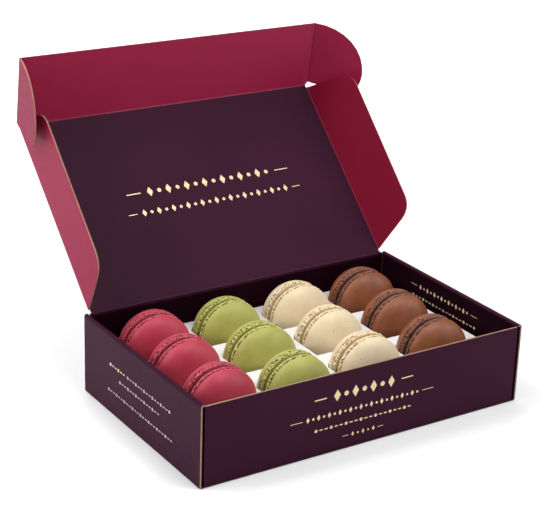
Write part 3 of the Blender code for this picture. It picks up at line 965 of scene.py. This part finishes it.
GOLD = (0.80, 0.63, 0.38)
GOLD_DULL = (0.60, 0.44, 0.24)
PALE_PRINT = (0.50, 0.42, 0.42)
PALE_PRINT_WORN = (0.36, 0.28, 0.30)
GOLD_THICK = 0.00004
DOT_SIDES = 16
FRONT_FACE_Y = -0.0677
RIGHTWARDS = Vector((1, 0, 0))
FORWARDS = Vector((0, -1, 0))
UPWARDS = Vector((0, 0, 1))


def make_gold_material():
    material, tree, shader = new_material("stamped_gold", GOLD)
    place = place_node(tree, "ShaderNodeTexCoord", -5, 1).outputs["Object"]
    rub = add_noise(tree, place, 900.0, 4.0, -4, 1)
    tone = remap(tree, rub, 0.4, 0.75, 0.0, 0.7, -3, 1)
    tree.links.new(mix_colours(tree, tone, GOLD, GOLD_DULL, -2, 1), shader.inputs["Base Color"])
    tree.links.new(remap(tree, rub, 0.3, 0.7, 0.32, 0.5, -3, 2), shader.inputs["Roughness"])
    add_bump(tree, shader, rub, 0.2, 0.00003)
    shader.inputs["Metallic"].default_value = 0.35
    return material


def lozenge(u, v, width, height):
    return [(u - width / 2, v), (u, v - height / 2), (u + width / 2, v), (u, v + height / 2)]


def rule(u, v, width, height):
    return [(u - width / 2, v - height / 2), (u + width / 2, v - height / 2),
            (u + width / 2, v + height / 2), (u - width / 2, v + height / 2)]


def dot(u, v, size):
    angles = [2 * math.pi * step / DOT_SIDES for step in range(DOT_SIDES)]
    return [(u + size / 2 * math.cos(angle), v + size / 2 * math.sin(angle)) for angle in angles]


def stamp(name, body, origin, across, up, shapes, material):
    """Thin closed plates, one for each outline, laid on a flat face of the carton."""
    out = across.cross(up).normalized()
    points, faces = [], []
    for outline in shapes:
        first = len(points)
        points += [origin + across * u + up * v for u, v in outline]
        faces.append(tuple(range(first, len(points))))
    mesh = bpy.data.meshes.new(name)
    mesh.from_pydata(points, [], faces)
    piece = bpy.data.objects.new(name, mesh)
    bpy.context.collection.objects.link(piece)
    make_active(piece)
    bpy.ops.object.mode_set(mode="EDIT")
    bpy.ops.mesh.select_all(action="SELECT")
    bpy.ops.mesh.extrude_region_move(TRANSFORM_OT_translate={"value": out * GOLD_THICK})
    bpy.ops.mesh.select_all(action="SELECT")
    bpy.ops.mesh.normals_make_consistent(inside=False)
    bpy.ops.object.mode_set(mode="OBJECT")
    piece.data.materials.append(material)
    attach(piece, body)
    return piece


def ornament_row(centre, level, half, size, pitch, line):
    """Row of lozenges with dots between them and a fine rule at either end."""
    shapes = []
    count = int(2 * half / pitch)
    for step in range(count + 1):
        place = centre + (step - count / 2) * pitch
        if step % 2:
            shapes.append(dot(place, level, size * 0.42))
        else:
            shapes.append(lozenge(place, level, size * 0.62, size))
    reach = count / 2 * pitch + size
    for side in (-1, 1):
        shapes.append(rule(centre + side * (reach + line / 2), level, line, size * 0.10))
    return shapes


def dash_row(centre, level, half, size, pitch):
    """Row of short rules with small dots between them."""
    shapes = []
    count = int(2 * half / pitch)
    for step in range(count + 1):
        place = centre + (step - count / 2) * pitch
        if step % 3:
            shapes.append(rule(place, level, pitch * 0.62, size * 0.38))
        else:
            shapes.append(dot(place, level, size))
    return shapes


gold = make_gold_material()
pale_print = make_board_material("pale_print", PALE_PRINT, PALE_PRINT_WORN, 0.50, 0.12, 0.25, 0.3)

# Each row below has its centre, its height on the face, half its length, the size
# and pitch of its marks and, with lozenges, the length of its end rules
lid_shapes = ornament_row(0.0047, 0.0710, 0.046, 0.0066, 0.0066, 0.010)
lid_shapes += ornament_row(0.0047, 0.0572, 0.052, 0.0050, 0.0052, 0.006)
stamp("gold_lid", "lid", hinge, RIGHTWARDS, into_lid, lid_shapes, gold)

front = Vector((0.0, FRONT_FACE_Y, 0.0))
front_shapes = ornament_row(-0.0035, 0.0348, 0.020, 0.0072, 0.0062, 0.008)
front_shapes += ornament_row(-0.0035, 0.0238, 0.038, 0.0036, 0.0036, 0.008)
front_shapes += dash_row(-0.0032, 0.0158, 0.033, 0.0020, 0.0034)
front_shapes += ornament_row(-0.0030, 0.0080, 0.008, 0.0030, 0.0036, 0.004)
stamp("gold_front", "root", front, RIGHTWARDS, UPWARDS, front_shapes, gold)

left = Vector((-HALF_WIDTH, 0.0, 0.0))
first_marks = dash_row(-0.0265, 0.0314, 0.0095, 0.0021, 0.0032)
stamp("gold_left", "root", left, FORWARDS, UPWARDS, first_marks, gold)
left_shapes = dash_row(0.0105, 0.0314, 0.0240, 0.0020, 0.0032)
left_shapes += dash_row(-0.0005, 0.0245, 0.023, 0.0020, 0.0032)
left_shapes += dash_row(0.0, 0.0147, 0.038, 0.0020, 0.0032)
stamp("pale_left", "root", left, FORWARDS, UPWARDS, left_shapes, pale_print)

right = Vector((WALL_INNER_X, 0.0, 0.0))
right_shapes = ornament_row(-0.0020, 0.0400, 0.024, 0.0036, 0.0036, 0.006)
right_shapes += dash_row(-0.0015, 0.0328, 0.031, 0.0020, 0.0034)
stamp("gold_right", "root", right, FORWARDS, UPWARDS, right_shapes, gold)


# Studio
# Plain pale floor, soft lights above and to the left, and the camera where the
# photograph was taken from.

CAMERA_PLACE = (-0.4975, -0.7179, 0.4320)
CAMERA_AZIMUTH = math.radians(-33.40)
CAMERA_ELEVATION = math.radians(21.39)
CAMERA_ROLL = math.radians(1.997)
CAMERA_LENS = 106.83
SENSOR_WIDTH = 36.0
PALE_FLOOR = (0.90, 0.90, 0.90)
FLOOR_SIZE = 6.0
FLOOR_Z = -0.0002
BOX_MIDDLE = (0.0, 0.0, 0.05)
ROOM_LIGHT = 0.20

bpy.context.scene.view_settings.view_transform = "Standard"

camera_data = bpy.data.cameras.new("camera")
camera_data.lens = CAMERA_LENS
camera_data.sensor_width = SENSOR_WIDTH
camera = bpy.data.objects.new("camera", camera_data)
bpy.context.collection.objects.link(camera)
turn = Matrix.Rotation(CAMERA_AZIMUTH, 4, "Z") @ Matrix.Rotation(math.pi / 2 - CAMERA_ELEVATION, 4, "X")
camera.matrix_world = Matrix.Translation(CAMERA_PLACE) @ turn @ Matrix.Rotation(CAMERA_ROLL, 4, "Z")
bpy.context.scene.camera = camera

deselect_all()
bpy.ops.mesh.primitive_plane_add(size=FLOOR_SIZE, location=(0.0, 0.0, FLOOR_Z))
floor = bpy.context.object
floor.name = "floor"
floor_material, _, floor_shader = new_material("pale_floor", PALE_FLOOR)
floor_shader.inputs["Base Color"].default_value = (*PALE_FLOOR, 1.0)
floor_shader.inputs["Roughness"].default_value = 0.9
floor.data.materials.append(floor_material)


def add_softbox(name, place, aim, size, power, spread):
    light = bpy.data.lights.new(name, "AREA")
    light.shape = "RECTANGLE"
    light.size, light.size_y = size
    light.energy = power
    light.spread = math.radians(spread)
    lamp = bpy.data.objects.new(name, light)
    bpy.context.collection.objects.link(lamp)
    lamp.location = place
    lamp.rotation_euler = (Vector(aim) - Vector(place)).to_track_quat("-Z", "Y").to_euler()


add_softbox("key", (-1.25, 0.10, 0.75), BOX_MIDDLE, (0.8, 0.7), 8.5, 180)
add_softbox("fill", (1.45, -1.05, 1.0), BOX_MIDDLE, (1.0, 0.8), 15.5, 180)
add_softbox("top", (0.20, -0.40, 1.25), BOX_MIDDLE, (0.5, 0.5), 9.0, 180)
add_softbox("floor_back", (0.8, 1.9, 1.6), (0.8, 1.9, 0.0), (2.4, 1.4), 60.0, 110)
add_softbox("floor_left", (-1.1, 1.0, 1.6), (-1.1, 1.0, 0.0), (1.2, 1.4), 25.0, 100)

world = bpy.data.worlds.new("pale_room")
world.use_nodes = True
room = world.node_tree.nodes["Background"]
room.inputs["Color"].default_value = (1.0, 1.0, 1.0, 1.0)
room.inputs["Strength"].default_value = ROOM_LIGHT
bpy.context.scene.world = world
